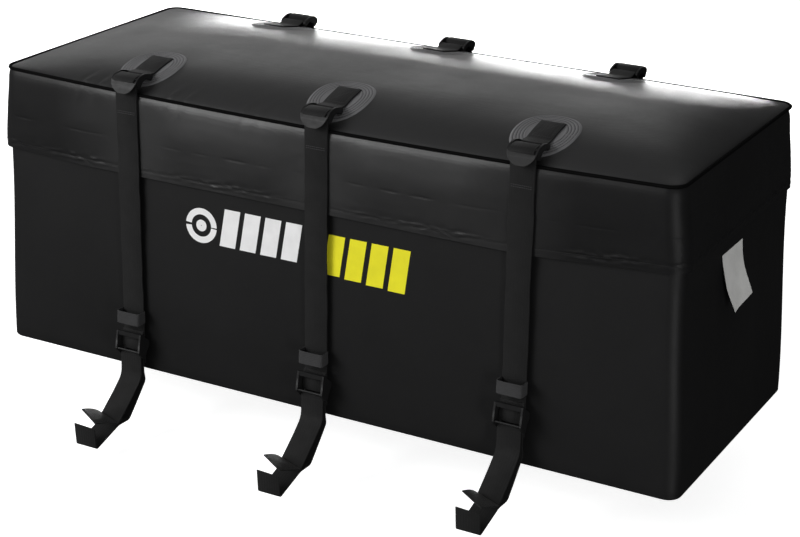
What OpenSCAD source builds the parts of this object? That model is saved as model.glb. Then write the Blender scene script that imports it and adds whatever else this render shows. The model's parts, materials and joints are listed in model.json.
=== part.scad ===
// Soft weatherproof cargo bag for a hitch carrier, in millimetres.
// Frame: X along the bag's length, -Y out of its front, +Z up.
// Origin: centre of the underside of the floor, which rests on the carrier's deck.
// Strap hardware is drawn as side profiles in (u, z): u is the distance outward from the rain flap.

/* [Bag] */
// Length over the rain flap
bag_length = 1500; // [1460:10:1560]
// Width over the rain flap, front to rear
bag_width = 600; // [560:10:660]
// Height of the top seam above the floor's underside
bag_height = 600; // [560:10:640]
// How far the body wall stands in from the rain flap
flap_stand = 7.5; // [7:0.5:10]
// Outer radius of the body's upright corners
corner_r = 28; // [20:2:60]
// Thickness of the padded wall and of the floor
wall_t = 3; // [2:0.5:4]

/* [Lid] */
// Depth of the zip below the top seam
zip_drop = 104; // [90:2:110]
// Depth of the rain flap's hem below the top seam
hem_drop = 176; // [150:2:200]
// Thickness of the rain flap
flap_t = 1.6; // [1:0.2:2]
// Rise of the lid's middle above its seam
crown_rise = 40; // [20:2:46]
// Length of the slope between the seam and the lid's middle
crown_run = 170; // [150:10:200]
// Radius of the piping cord round the lid
piping_r = 3.5; // [3:0.5:4]

/* [Straps] */
// Places of the front straps along the length, measured from its middle
front_straps = [-424, 10, 436];
// Places of the rear straps along the length
rear_straps = [-388, 0, 388];
// How far each front strap is drawn up through its lower buckle
front_take_up = [4, 12, 48];
// Width of the webbing
web_w = 50; // [48:1:50]
// Thickness of the webbing
web_t = 2.4; // [2:0.2:2.6]
// Outer width of the buckles
buckle_w = 60; // [60:1:66]

/* [Hidden] */
$fn = 48;
SPOTS = ["front_left", "front_mid", "front_right", "rear_left", "rear_mid", "rear_right"];
STRAP_PIECES = ["patch", "tab", "top_buckle", "strap", "keeper", "lower_buckle", "tail"];
BAG_PIECES = ["body_wall", "floor_panel", "lower_zip_chain", "rear_hinge_seam", "care_label",
              "lid_panel", "lid_band", "rain_flap", "lid_piping", "upper_zip_chain",
              "zip_slider_left", "zip_slider_right", "zip_pull_left", "zip_pull_right"];

// Body wall
body_l = bag_length - 2 * flap_stand;
body_w = bag_width - 2 * flap_stand;
zip_z = bag_height - zip_drop;
zip_room = 12;
flap_end_y = body_w / 2 - corner_r - 4.5;
hinge_y = body_w / 2 - wall_t / 2;
hinge_cord_r = 3;
hinge_gap = 4;
// Lid
seam_z = bag_height - 3;
band_top = seam_z - 0.5;
seam_u = -3;
panel_edge_u = seam_u - piping_r;
panel_t = 2;
crown_slope = atan(crown_rise / crown_run);
// Zip
chain_t = 1.2;
chain_h = 24;
chain_gap = 3;
tape_u = -flap_stand + chain_t;
slider_x = 11;
pull_z = zip_z - 4;
pull_pin_r = 1.5;
pull_play = 0.07;
pull_l = 34;
pull_w = 7;
pull_t = 1.2;
// Care label
label_w = 106;
label_h = 112;
label_y = -41;
label_top_z = 412;
label_t = 0.8;
// Buckles and webbing loops
bar_r = 3;
bar_play = 0.1;
loop_r = bar_r + bar_play + web_t;
loop_mid_r = loop_r - web_t / 2;
plate_t = 4;
patch_w = 124;
patch_l = 142;
patch_t = 1.5;
patch_u = -88;
rear_bar = [-38, bag_height + 17];
front_bar = [0.15, bag_height + 8];
web_u = front_bar[0] + loop_mid_r;
web_end_z = 16;
// A leg starts inside its loop's wall, a little thinner than the loop, clear of the bore
leg_lap = 1.2;
leg_t = web_t - 0.1;
tail_bar = [15, 36];
keeper_z = 104;
keeper_h = 26;
keeper_t = 1.8;
keeper_depth = 22;

function lid_z(u) = seam_z + panel_t + (panel_edge_u - u) * tan(crown_slope);
// Left-hand normal of the segment from p to q
function normal(p, q) = [p[1] - q[1], q[0] - p[0]] / norm(q - p);
// Offset of a corner so that both of its segments keep their thickness
function corner(a, b) = (a + b) / (1 + a * b);
function side_points(pts, d) = [for (i = [0 : len(pts) - 1])
    let (before = normal(pts[max(i - 1, 0)], pts[max(i, 1)]),
         after = normal(pts[min(i, len(pts) - 2)], pts[min(i + 1, len(pts) - 1)]))
    pts[i] + d * corner(before, after)];
function reversed(list) = [for (i = [len(list) - 1 : -1 : 0]) list[i]];

// Flat outlines
module rounded_rect(l, w, r) {
  square([l - 2 * r, w], center = true);
  square([l, w - 2 * r], center = true);
  for (x = [-1, 1], y = [-1, 1]) translate([x * (l / 2 - r), y * (w / 2 - r)]) circle(r);
}
module body_outline(grow = 0) rounded_rect(body_l + 2 * grow, body_w + 2 * grow, corner_r + grow);
// A band of fabric between two growths of the body's outline
module wall_ring(outer, inner) {
  difference() {
    body_outline(outer);
    body_outline(inner);
  }
}
// The same band on the front and the two sides only
module three_side_ring(outer, inner) {
  difference() {
    wall_ring(outer, inner);
    translate([-bag_length, flap_end_y]) square([2 * bag_length, bag_width]);
  }
}
module rear_strip() {
  translate([-body_l / 2 + corner_r, body_w / 2 - wall_t]) square([body_l - 2 * corner_r, wall_t]);
}
module ribbon(pts, t) {
  polygon(concat(side_points(pts, -t / 2), reversed(side_points(pts, t / 2))));
}
module ring(at, outer, inner) {
  translate(at) difference() {
    circle(outer);
    circle(inner);
  }
}

// Stands a (u, z) profile up across the strap, w wide along X
module across(w) {
  rotate([90, 0, -90]) linear_extrude(height = w, center = true) children();
}
module at_spot(i) {
  translate([i < 3 ? front_straps[i] : rear_straps[i - 3], 0, 0])
    mirror([0, i < 3 ? 0 : 1, 0])
      translate([0, -bag_width / 2, 0]) children();
}
module bar(at, r) {
  across(buckle_w) translate(at) circle(r);
}
module both_plates() {
  for (s = [-1, 1]) translate([s * (buckle_w - plate_t) / 2, 0, 0]) across(plate_t) children();
}

// Body
module body_wall() color([0.12, 0.12, 0.13]) {
  translate([0, 0, wall_t]) linear_extrude(height = zip_z - zip_room - wall_t) wall_ring(0, -wall_t);
  translate([0, 0, zip_z - zip_room - 1]) linear_extrude(height = zip_room + 1 - hinge_gap) rear_strip();
}
module floor_panel() color([0.1, 0.1, 0.11]) linear_extrude(height = wall_t) body_outline();
module zip_chain(z) color([0.05, 0.05, 0.05])
  translate([0, 0, z]) linear_extrude(height = chain_h) three_side_ring(chain_t, 0);
module lower_zip_chain() zip_chain(zip_z - chain_gap / 2 - chain_h);
module upper_zip_chain() zip_chain(zip_z + chain_gap / 2);
module rear_hinge_seam() color([0.05, 0.05, 0.05])
  translate([0, hinge_y, zip_z]) rotate([0, 90, 0])
    cylinder(h = body_l - 2 * corner_r, r = hinge_cord_r, center = true);
module care_label() color([0.92, 0.92, 0.9])
  translate([body_l / 2 + 1, label_y - label_w / 2, label_top_z - label_h])
    cube([label_t, label_w, label_h]);

// Lid
module crown(shift) {
  edge_l = bag_length + 2 * panel_edge_u;
  edge_w = bag_width + 2 * panel_edge_u;
  translate([0, 0, shift]) hull() {
    translate([0, 0, seam_z]) linear_extrude(height = panel_t) rounded_rect(edge_l, edge_w, corner_r - 3, $fn = 32);
    translate([0, 0, seam_z + crown_rise]) linear_extrude(height = panel_t)
      rounded_rect(edge_l - 2 * crown_run, edge_w - 2 * crown_run, 20, $fn = 32);
  }
}
module lid_panel() color([0.3, 0.3, 0.31]) difference() {
  crown(0);
  crown(-panel_t - 0.5);
}
module lid_band() color([0.13, 0.13, 0.14]) {
  translate([0, 0, zip_z + zip_room]) linear_extrude(height = band_top - zip_z - zip_room) wall_ring(0, -wall_t);
  translate([0, 0, zip_z + hinge_gap]) linear_extrude(height = zip_room - hinge_gap + 1) rear_strip();
}
module rain_flap() color([0.17, 0.17, 0.18])
  translate([0, 0, bag_height - hem_drop]) linear_extrude(height = hem_drop - 6.6)
    three_side_ring(flap_stand, flap_stand - flap_t);
module lid_piping() color([0.04, 0.04, 0.04]) {
  cord_l = bag_length / 2 + seam_u;
  cord_w = bag_width / 2 + seam_u;
  translate([0, 0, seam_z]) {
    for (y = [-1, 1]) translate([0, y * cord_w, 0]) rotate([0, 90, 0])
      cylinder(h = 2 * (cord_l - corner_r), r = piping_r, center = true);
    for (x = [-1, 1]) translate([x * cord_l, 0, 0]) rotate([90, 0, 0])
      cylinder(h = 2 * (cord_w - corner_r), r = piping_r, center = true);
    for (a = [0, 1, 2, 3]) translate([(a == 0 || a == 3 ? 1 : -1) * (cord_l - corner_r),
                                      (a < 2 ? 1 : -1) * (cord_w - corner_r), 0])
      rotate([0, 0, 90 * a]) rotate_extrude(angle = 90) translate([corner_r, 0]) circle(piping_r);
  }
}

// Zip sliders and pulls: side is -1 for the left one, 1 for the right one
module zip_slider(side) color([0.08, 0.08, 0.08])
  translate([side * slider_x, -bag_width / 2, 0]) {
    across(12) {
      translate([tape_u + 0.3, zip_z - 8]) square([1.4, 16]);
      translate([-flap_stand - 1.9, zip_z - 7]) square([1.4, 14]);
    }
    across(3) translate([-flap_stand - 1.9, zip_z - 0.8]) square([4, 1.6]);
    translate([0, -tape_u - 1.6, pull_z]) rotate([90, 0, 0]) cylinder(h = 2.2, r = pull_pin_r);
    translate([0, -tape_u - 3.7, pull_z]) rotate([90, 0, 0]) cylinder(h = 0.6, r = 2.6);
  }
module zip_slider_left() zip_slider(-1);
module zip_slider_right() zip_slider(1);
module zip_pull(side) color([0.06, 0.06, 0.06])
  translate([side * slider_x, -bag_width / 2 - tape_u - 2.1, pull_z]) rotate([90, 0, 0])
    linear_extrude(height = pull_t) difference() {
      union() {
        circle(pull_w / 2);
        translate([-pull_w / 2, -pull_l]) square([pull_w, pull_l]);
        translate([0, -pull_l]) circle(pull_w / 2);
      }
      circle(pull_pin_r + pull_play);
    }
module zip_pull_left() zip_pull(-1);
module zip_pull_right() zip_pull(1);

// Strap sets: one of each piece at every spot
module patch() color([0.35, 0.35, 0.36])
  translate([0, -patch_u, lid_z(patch_u) + 0.05]) rotate([crown_slope, 0, 0])
    linear_extrude(height = patch_t) {
      straight = patch_l - patch_w;
      square([patch_w, straight], center = true);
      for (s = [-1, 1]) translate([0, s * straight / 2]) circle(patch_w / 2);
    }
module tab() color([0.16, 0.16, 0.17]) across(web_w) {
  on_patch = patch_t + web_t / 2 + 0.3;
  near = -60;
  far = -122;
  ring(rear_bar, loop_r, bar_r + bar_play);
  ribbon([rear_bar + [leg_lap, -loop_mid_r], [near, lid_z(near) + on_patch], [far, lid_z(far) + on_patch]], leg_t);
}
module top_buckle() color([0.4, 0.4, 0.41]) {
  bar(rear_bar, bar_r);
  bar([-17, bag_height + 21.5], 2.5);
  bar(front_bar, bar_r);
  both_plates() {
    translate(rear_bar) circle(6);
    translate(front_bar) circle(5);
    polygon([for (p = [[-39, 11.2], [-42, 21.3], [-32, 25.5], [-18, 28.5], [-6, 27], [2, 24.5], [10, 18.5],
                       [8, 13], [4, 5], [-4, 5.5], [-12, 14], [-24, 17.5]]) p + [0, bag_height]]);
  }
  // Lifting lip: curved down over the edge, rounded at its end
  intersection() {
    across(buckle_w) translate([0, bag_height])
      polygon([[6, 21.5], [10, 18.5], [16, 9], [20.5, -6], [17.5, -7], [13, 6], [8.5, 13], [4, 17.5]]);
    translate([0, 10, bag_height + 23]) rotate([90, 0, 0]) linear_extrude(height = 60) {
      circle(buckle_w / 2);
      translate([-buckle_w / 2, 0]) square([buckle_w, 10]);
    }
  }
}
module strap(up) color([0.18, 0.18, 0.19]) across(web_w) {
  ring(front_bar, loop_r, bar_r + bar_play);
  translate([web_u - web_t / 2, web_end_z + up]) square([web_t, front_bar[1] - web_end_z - up]);
}
module keeper() color([0.27, 0.27, 0.28])
  translate([0, -web_u, keeper_z]) linear_extrude(height = keeper_h) {
    inner_w = web_w + 1.2;
    back = -web_t / 2 - 0.6;
    difference() {
      translate([-inner_w / 2 - keeper_t, -keeper_depth - keeper_t])
        square([inner_w + 2 * keeper_t, keeper_depth + 2 * keeper_t - back]);
      translate([-inner_w / 2, -keeper_depth]) square([inner_w, keeper_depth - back]);
    }
  }
module lower_buckle() color([0.4, 0.4, 0.41]) {
  bar(tail_bar, bar_r);
  bar([-0.5, 60], 2.5);
  bar([28.5, 47], 2.2);
  across(buckle_w) translate([19, 76]) square([6, 9]);
  both_plates() {
    translate(tail_bar) circle(6);
    translate([28.5, 47]) circle(4);
    polygon([[19, 85], [25, 85], [28, 72], [32, 49], [28, 41], [18, 31], [10, 33], [5, 44], [-4, 54],
             [-4, 63], [3, 70], [14, 78]]);
  }
}
module tail() color([0.17, 0.17, 0.18]) across(web_w) {
  ring(tail_bar, loop_r, bar_r + bar_play);
  // Shorter outer leg, which ends in the jaw's tongue
  ribbon([tail_bar + [loop_mid_r, leg_lap], [20, -16], [94, -76], [120, -66], [166, -42]], leg_t);
  // Longer inner leg, which ends in the jaw's turned-up end
  ribbon([tail_bar + [-loop_mid_r, leg_lap], [tail_bar[0] - loop_mid_r, -22], [66, -87], [100, -85],
          [179, -110], [181, -64]], leg_t);
}

body_wall();
floor_panel();
lower_zip_chain();
rear_hinge_seam();
care_label();
lid_panel();
lid_band();
rain_flap();
lid_piping();
upper_zip_chain();
zip_slider_left();
zip_slider_right();
zip_pull_left();
zip_pull_right();
for (i = [0 : 5]) at_spot(i) {
  up = i < 3 ? front_take_up[i] : 0;
  patch();
  tab();
  top_buckle();
  strap(up);
  translate([0, 0, up]) keeper();
  translate([0, 0, up]) lower_buckle();
  translate([0, 0, up]) tail();
}
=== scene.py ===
"""Looks of the soft cargo bag: its cloth, webbing, buckles and trim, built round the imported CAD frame.

Metres, in the CAD's own frame: X along the bag, -Y out of its front, +Z up. Pieces of the strap sets are
built in (across, outward, up), where outward is the distance from the plane of the rain flap.
"""

import json
import math

import bmesh
import bpy
import numpy as np
from mathutils import Matrix, Vector


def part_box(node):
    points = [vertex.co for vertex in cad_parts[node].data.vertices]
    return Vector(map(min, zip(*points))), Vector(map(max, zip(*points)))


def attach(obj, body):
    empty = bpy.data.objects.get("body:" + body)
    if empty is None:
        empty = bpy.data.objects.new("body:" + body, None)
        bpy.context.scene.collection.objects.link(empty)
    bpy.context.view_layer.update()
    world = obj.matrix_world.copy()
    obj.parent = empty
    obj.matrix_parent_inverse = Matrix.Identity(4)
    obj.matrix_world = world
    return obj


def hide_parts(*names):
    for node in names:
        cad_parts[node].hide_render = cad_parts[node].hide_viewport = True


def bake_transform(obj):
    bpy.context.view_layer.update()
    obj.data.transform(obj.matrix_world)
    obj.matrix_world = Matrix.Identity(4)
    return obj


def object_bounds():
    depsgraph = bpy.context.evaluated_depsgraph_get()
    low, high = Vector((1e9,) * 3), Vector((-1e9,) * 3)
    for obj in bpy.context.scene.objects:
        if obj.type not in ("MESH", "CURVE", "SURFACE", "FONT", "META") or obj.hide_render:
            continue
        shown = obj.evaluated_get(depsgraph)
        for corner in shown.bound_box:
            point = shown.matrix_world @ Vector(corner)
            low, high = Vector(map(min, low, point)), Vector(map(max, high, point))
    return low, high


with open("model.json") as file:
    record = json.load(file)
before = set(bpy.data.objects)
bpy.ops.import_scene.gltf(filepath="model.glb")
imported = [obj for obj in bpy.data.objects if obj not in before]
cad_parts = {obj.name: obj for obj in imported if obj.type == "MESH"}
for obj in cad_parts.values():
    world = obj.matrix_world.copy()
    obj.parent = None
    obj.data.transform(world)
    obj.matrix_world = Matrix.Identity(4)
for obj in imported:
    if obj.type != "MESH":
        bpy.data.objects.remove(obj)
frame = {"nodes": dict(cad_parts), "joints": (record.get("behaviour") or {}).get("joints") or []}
cad_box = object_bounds()

MM = 0.001
TURN = 2 * math.pi
UP = np.array([0, 0, 1.0])
SEED = 11

# -------- measures taken from the frame
WALL_L, WALL_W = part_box("body_wall")[1].x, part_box("body_wall")[1].y
FLAP_L, FLAP_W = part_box("rain_flap")[1].x, -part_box("rain_flap")[0].y
HEM_Z, FLAP_END_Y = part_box("rain_flap")[0].z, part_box("rain_flap")[1].y
WELT_LO, WELT_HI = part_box("lid_piping")
WELT_R = (WELT_HI.z - WELT_LO.z) / 2
SEAM_Z = WELT_LO.z + WELT_R
SEAM_L, SEAM_W = WELT_HI.x - WELT_R, WELT_HI.y - WELT_R
HINGE_CORD_R = 3 * MM
ZIP_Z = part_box("rear_hinge_seam")[0].z + HINGE_CORD_R
REAR_STRIP_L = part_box("rear_hinge_seam")[1].x
FLOOR_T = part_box("floor_panel")[1].z
CORNER_R = WALL_L - REAR_STRIP_L
WALL_T = 3 * MM
FLAP_T = 1.6 * MM
ZIP_ROOM = 12 * MM
WEAVE = 1.4 * MM  # the coated cloth's thread spacing
WEB_W, WEB_T = 50 * MM, 2.3 * MM
LOOP_R = 4.3 * MM  # from a bar's middle to the middle of the webbing round it
TAIL_BAR_UP = 36 * MM  # height of a tail's bar before its strap is drawn up
HEM_FOLD, HEM_SEWN = 13 * MM, 14 * MM  # the hem's folded depth, and its stitching's height above the edge
JOINT_AT = {j["name"]: j.get("pos_m") for j in frame["joints"]}

# How the filled bag departs from the flat-sided CAD
SPLAY_FLOOR = 18 * MM
SPLAY_TOP = 15 * MM
WALL_BULGE = 3.0 * MM
FLAP_BULGE = 5.5 * MM
LID_CROWN = 44 * MM
# Powers of the lid's crown: a higher one makes its top flatter and its edge steeper
SQUARE_LEFT, SQUARE_RIGHT, SQUARE_FRONT, SQUARE_REAR = 4.5, 11, 3.8, 1.8
SEAM_SAG = 12 * MM
HEM_LEFT_UP, HEM_RIGHT_UP, HEM_DROP = 8 * MM, 19 * MM, 3 * MM


# -------- mesh helpers
def linked(name, data):
    """A new object, put in the scene."""
    obj = bpy.data.objects.new(name, data)
    bpy.context.scene.collection.objects.link(obj)
    return obj


def new_piece(name, verts, faces, uvs=None, crease=38):
    """A mesh object from points in metres: faces turned outward, edges over crease degrees left sharp."""
    mesh = bpy.data.meshes.new(name)
    mesh.from_pydata([tuple(map(float, v)) for v in verts], [], faces)
    if uvs is not None:
        layer = mesh.uv_layers.new(name="metres")
        corner = np.zeros(len(mesh.loops), np.int32)
        mesh.loops.foreach_get("vertex_index", corner)
        layer.data.foreach_set("uv", np.asarray(uvs, np.float32)[corner].ravel())
    bm = bmesh.new()
    bm.from_mesh(mesh)
    bmesh.ops.recalc_face_normals(bm, faces=bm.faces)
    bm.to_mesh(mesh)
    bm.free()
    mesh.shade_smooth()
    mesh.set_sharp_from_angle(angle=math.radians(crease))
    return linked(name, mesh)


def grid_faces(rows, cols, first=0, wrap=False):
    faces = []
    for i in range(rows - 1):
        for j in range(cols if wrap else cols - 1):
            k = (j + 1) % cols
            a, b = first + i * cols, first + (i + 1) * cols
            faces.append((a + j, a + k, b + k, b + j))
    return faces


def sheet_solid(name, outer, inner, uvs, wrap=False, crease=38):
    """A closed solid between two matching grids of points, rows by columns by 3."""
    rows, cols = outer.shape[:2]
    n = rows * cols
    faces = grid_faces(rows, cols, 0, wrap)
    faces += [f[::-1] for f in grid_faces(rows, cols, n, wrap)]
    for i in (0, rows - 1):
        for j in range(cols if wrap else cols - 1):
            a, b = i * cols + j, i * cols + (j + 1) % cols
            faces.append((a, b, b + n, a + n))
    if not wrap:
        for j in (0, cols - 1):
            for i in range(rows - 1):
                a, b = i * cols + j, (i + 1) * cols + j
                faces.append((a, b, b + n, a + n))
    verts = np.concatenate([outer.reshape(-1, 3), inner.reshape(-1, 3)])
    flat = uvs.reshape(-1, 2)
    return new_piece(name, verts, faces, np.concatenate([flat, flat]), crease)


def tube(name, rings, uvs, closed, crease=38):
    """A closed solid from rings of points, n by m by 3, with flat ends unless it is closed on itself."""
    n, m = rings.shape[:2]
    faces = grid_faces(n, m, 0, wrap=True)
    if closed:
        faces += [((n - 1) * m + j, (n - 1) * m + (j + 1) % m, (j + 1) % m, j) for j in range(m)]
    else:
        faces += [tuple(range(m))[::-1], tuple(range((n - 1) * m, n * m))]
    return new_piece(name, rings.reshape(-1, 3), faces, uvs.reshape(-1, 2), crease)


def lengths(points):
    step = np.linalg.norm(np.diff(points, axis=0), axis=1)
    return np.concatenate([[0], np.cumsum(step)])


def unit(v):
    return v / np.maximum(np.linalg.norm(v, axis=-1, keepdims=True), 1e-12)


def arc(centre, r, start, end, steps=10):
    """Points round a centre from one angle to another, in degrees."""
    a = np.radians(np.linspace(start, end, steps + 1))
    return np.column_stack([centre[0] + r * np.cos(a), centre[1] + r * np.sin(a)])


def rounded(points, radius, steps=5):
    """The same line with a soft bend in place of each corner."""
    pts = [np.asarray(p, float) for p in points]
    out = [pts[0]]
    for before, at, after in zip(pts, pts[1:], pts[2:]):
        back, on = before - at, after - at
        p = at + unit(back) * min(radius, np.linalg.norm(back) / 2)
        q = at + unit(on) * min(radius, np.linalg.norm(on) / 2)
        for t in np.linspace(0, 1, steps + 1):
            out.append((1 - t) ** 2 * p + 2 * t * (1 - t) * at + t * t * q)
    out.append(pts[-1])
    return np.array(out)


def filled(points, step):
    """The same line with points added, so that no two are further apart than step."""
    out = [points[0]]
    for a, b in zip(points, points[1:]):
        n = max(1, math.ceil(np.linalg.norm(b - a) / step))
        out += [a + (b - a) * k / n for k in range(1, n + 1)]
    return np.array(out)


def smooth(x, low, high):
    t = np.clip((x - low) / (high - low), 0, 1)
    return t * t * (3 - 2 * t)


def waves(seed, *coords, count=7, shortest=0.04, longest=0.25):
    """Gentle random hills from -1 to 1: a sum of seeded sine waves over any number of coordinates."""
    rng = np.random.default_rng(SEED + seed)
    total = 0
    for _ in range(count):
        length = shortest * (longest / shortest) ** rng.random()
        direction = rng.normal(size=len(coords))
        direction /= np.linalg.norm(direction)
        phase = sum(c * d for c, d in zip(coords, direction)) * TURN / length
        total = total + np.sin(phase + rng.random() * TURN)
    return total / count


def outline(half_l, half_w, r, end_y=None, step=0.02, turns=8):
    """Points and outward directions round a rounded rectangle: down the left side, along the front and up
    the right side to end_y, or all the way round."""
    corners = [(-1, -1, 180), (1, -1, 270)]
    if end_y is None:
        corners += [(1, 1, 0), (-1, 1, 90)]
    start = 0.0 if end_y is None else end_y
    rows = [(-half_l, start, -1, 0)]
    for sx, sy, first in corners:
        for k in range(turns + 1):
            a = math.radians(first + 90 * k / turns)
            cx, cy = sx * (half_l - r), sy * (half_w - r)
            rows.append((cx + r * math.cos(a), cy + r * math.sin(a), math.cos(a), math.sin(a)))
    rows.append((-half_l, start, -1, 0) if end_y is None else (half_l, end_y, 1, 0))
    dense = [np.array(rows[0])]
    for a, b in zip(rows, rows[1:]):
        a, b = np.array(a), np.array(b)
        n = max(1, round(float(np.linalg.norm(b[:2] - a[:2])) / step))
        dense += [a + (b - a) * k / n for k in range(1, n + 1)]
    dense = np.array(dense)
    run = lengths(dense[:, :2])
    if end_y is None:
        dense, run = dense[:-1], run[:-1]
    return dense[:, :2], unit(dense[:, 2:]), run


def dressed(obj, body, mat, nodes=()):
    """Gives a piece its material, its body and the CAD nodes that it stands for."""
    obj.data.materials.clear()
    obj.data.materials.append(mat)
    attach(obj, body)
    if nodes:
        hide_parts(*nodes)
    return obj


# -------- materials
class Tree:
    """Adds nodes to a node tree. An input is fed with a plain value or with another node's output."""

    def __init__(self, tree):
        self.nodes, self.links = tree.nodes, tree.links

    def feed(self, socket, value):
        if isinstance(value, bpy.types.NodeSocket):
            self.links.new(value, socket)
        else:
            socket.default_value = value

    def add(self, kind, inputs=None, **settings):
        node = self.nodes.new("ShaderNode" + kind)
        for key, value in settings.items():
            setattr(node, key, value)
        for key, value in (inputs or {}).items():
            self.feed(node.inputs[key], value)
        return node

    def math(self, operation, *values):
        return self.add("Math", dict(enumerate(values)), operation=operation).outputs[0]


class Shader(Tree):
    """One Principled material and its procedural textures."""

    def __init__(self, name, base, roughness, **sockets):
        self.mat = bpy.data.materials.new(name)
        self.mat.use_nodes = True
        super().__init__(self.mat.node_tree)
        self.bsdf = self.nodes["Principled BSDF"]
        self.base = base
        self.coords = self.add("TexCoord").outputs
        self.where = self.coords["Object"]
        self.set("Base Color", (*base, 1))
        self.set("Roughness", roughness)
        for key, value in sockets.items():
            self.set(key.replace("_", " "), value)
        self.mat.diffuse_color = (*base, 1)

    def set(self, socket, value):
        self.feed(self.bsdf.inputs[socket], value)

    def split(self, vector):
        return self.add("SeparateXYZ", {0: vector}).outputs

    def noise(self, scale, detail):
        inputs = {"Vector": self.where, "Scale": scale, "Detail": detail, "Roughness": 0.55}
        return self.add("TexNoise", inputs).outputs["Fac"]

    def spread(self, value, low, high, source=(0.3, 0.7)):
        """Maps a value's usual range onto low..high."""
        ends = {"From Min": source[0], "From Max": source[1], "To Min": low, "To Max": high}
        return self.add("MapRange", {"Value": value, **ends}).outputs[0]

    def mottle(self, scale, detail, low, high):
        """Soft clouds of values from low to high."""
        return self.spread(self.noise(scale, detail), low, high)

    def wave(self, value, period):
        """A sine of that period in metres, from -1 to 1."""
        return self.math("SINE", self.math("MULTIPLY", value, TURN / period))

    def colour(self, factor):
        """The base colour times a varying factor."""
        node = self.add("VectorMath", {0: self.base, "Scale": factor}, operation="SCALE")
        self.set("Base Color", node.outputs[0])

    def roughness(self, value):
        self.set("Roughness", value)

    def bump(self, *heights):
        """Bumps from (height, strength, distance in metres) layers."""
        normal = None
        for height, strength, distance in heights:
            node = self.add("Bump", {"Height": height, "Strength": strength, "Distance": distance})
            if normal:
                self.feed(node.inputs["Normal"], normal)
            normal = node.outputs[0]
        self.set("Normal", normal)


def coated_cloth(name, base, rough, specular=0.5, crinkle=0.25, painted_shade_ends=False):
    """Coated polyester: a fine weave under a soft sheen, with faint mottling and shallow crinkles. Its gloss
    may be lowered towards both ends of the bag, a painted shade standing in for the light falling off there."""
    s = Shader(name, base, rough, Specular_IOR_Level=specular)
    x, y, z = s.split(s.where)
    weave = s.math("ADD", s.math("ADD", s.wave(x, WEAVE), s.wave(y, WEAVE)), s.wave(z, WEAVE))
    s.colour(s.math("ADD", s.mottle(2.6, 4, 0.88, 1.12), s.mottle(60, 3, -0.04, 0.04)))
    s.roughness(s.mottle(7, 3, rough - 0.04, rough + 0.05))
    s.bump((s.noise(9, 2), crinkle, 6 * MM), (s.noise(34, 3), crinkle * 0.5, 1.5 * MM),
           (weave, 0.16, 0.25 * MM))
    # Painted shade: the gloss falls off towards both ends of the bag, where the studio light falls off.
    if painted_shade_ends:
        gloss = s.math("MULTIPLY", s.spread(x, 0.3, 1, (-0.60, -0.40)), s.spread(x, 1, 0.22, (0.34, 0.54)))
        s.set("Specular IOR Level", s.math("MULTIPLY", gloss, specular))
    return s.mat


def ribbed_webbing(name, base, rough, rib=1.7 * MM, lanes=9):
    """Woven webbing: ribs across its width, a few lanes along it, slightly fuzzy colour and painted shade in
    its grooves.
    """
    s = Shader(name, base, rough, Specular_IOR_Level=0.25, Sheen_Weight=0.06, Sheen_Roughness=0.5)
    u, v, _ = s.split(s.coords["UV"])
    lane = s.wave(u, WEB_W / lanes)
    ribs = s.wave(s.math("ADD", v, s.math("MULTIPLY", lane, rib * 0.25)), rib)
    relief = s.math("ADD", ribs, s.math("MULTIPLY", lane, 0.6))
    # Painted light and shade: the colour follows the relief, lighter on the ribs and darker in the grooves.
    s.colour(s.math("ADD", s.mottle(14, 4, 0.85, 1.15), s.spread(relief, -0.09, 0.09, (-1, 1))))
    s.roughness(s.mottle(30, 2, rough - 0.06, rough + 0.06))
    s.bump((relief, 0.35, 0.3 * MM), (s.noise(300, 2), 0.25, 0.2 * MM))
    return s.mat


def moulded_plastic(name, base, rough):
    """Moulded acetal: satin, with a faint grain and flow marks."""
    s = Shader(name, base, rough, Specular_IOR_Level=0.22)
    s.colour(s.mottle(40, 3, 0.9, 1.12))
    s.roughness(s.mottle(120, 3, rough - 0.06, rough + 0.08))
    s.bump((s.noise(900, 2), 0.12, 0.1 * MM), (s.noise(70, 2), 0.1, 0.5 * MM))
    return s.mat


def thread_or_cord(name, base, rough, twist=1.1 * MM, specular=0.3):
    """Twisted thread or bound cord."""
    s = Shader(name, base, rough, Specular_IOR_Level=specular)
    x, y, z = s.split(s.where)
    lay = s.wave(s.math("ADD", s.math("ADD", x, y), s.math("MULTIPLY", z, 0.8)), twist)
    s.colour(s.mottle(25, 3, 0.85, 1.15))
    s.roughness(s.mottle(90, 2, rough - 0.05, rough + 0.05))
    s.bump((lay, 0.3, 0.25 * MM))
    return s.mat


def printed_ink(name, base):
    """Screen-printed ink on the weave: even, slightly chalky."""
    s = Shader(name, base, 0.6, Specular_IOR_Level=0.3)
    x, _, z = s.split(s.where)
    s.colour(s.mottle(35, 4, 0.94, 1.03))
    s.roughness(s.mottle(60, 2, 0.52, 0.66))
    s.bump((s.math("ADD", s.wave(x, WEAVE), s.wave(z, WEAVE)), 0.12, 0.2 * MM))
    return s.mat


def label_satin(name, base):
    """Care-label satin, with fine threads across it."""
    s = Shader(name, base, 0.5, Sheen_Weight=0.2)
    _, v, _ = s.split(s.coords["UV"])
    s.colour(s.mottle(30, 4, 0.9, 1.04))
    s.roughness(s.mottle(50, 2, 0.42, 0.58))
    s.bump((s.wave(v, 0.9 * MM), 0.2, 0.1 * MM), (s.noise(60, 2), 0.25, 1 * MM))
    return s.mat


def enamelled_metal(name, base, rough):
    s = Shader(name, base, rough, Metallic=0.55)
    s.colour(s.mottle(150, 3, 0.85, 1.2))
    s.roughness(s.mottle(200, 3, rough - 0.08, rough + 0.1))
    s.bump((s.noise(500, 2), 0.1, 0.1 * MM))
    return s.mat


def grey(value):
    return (value, value, value * 1.03)


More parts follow.
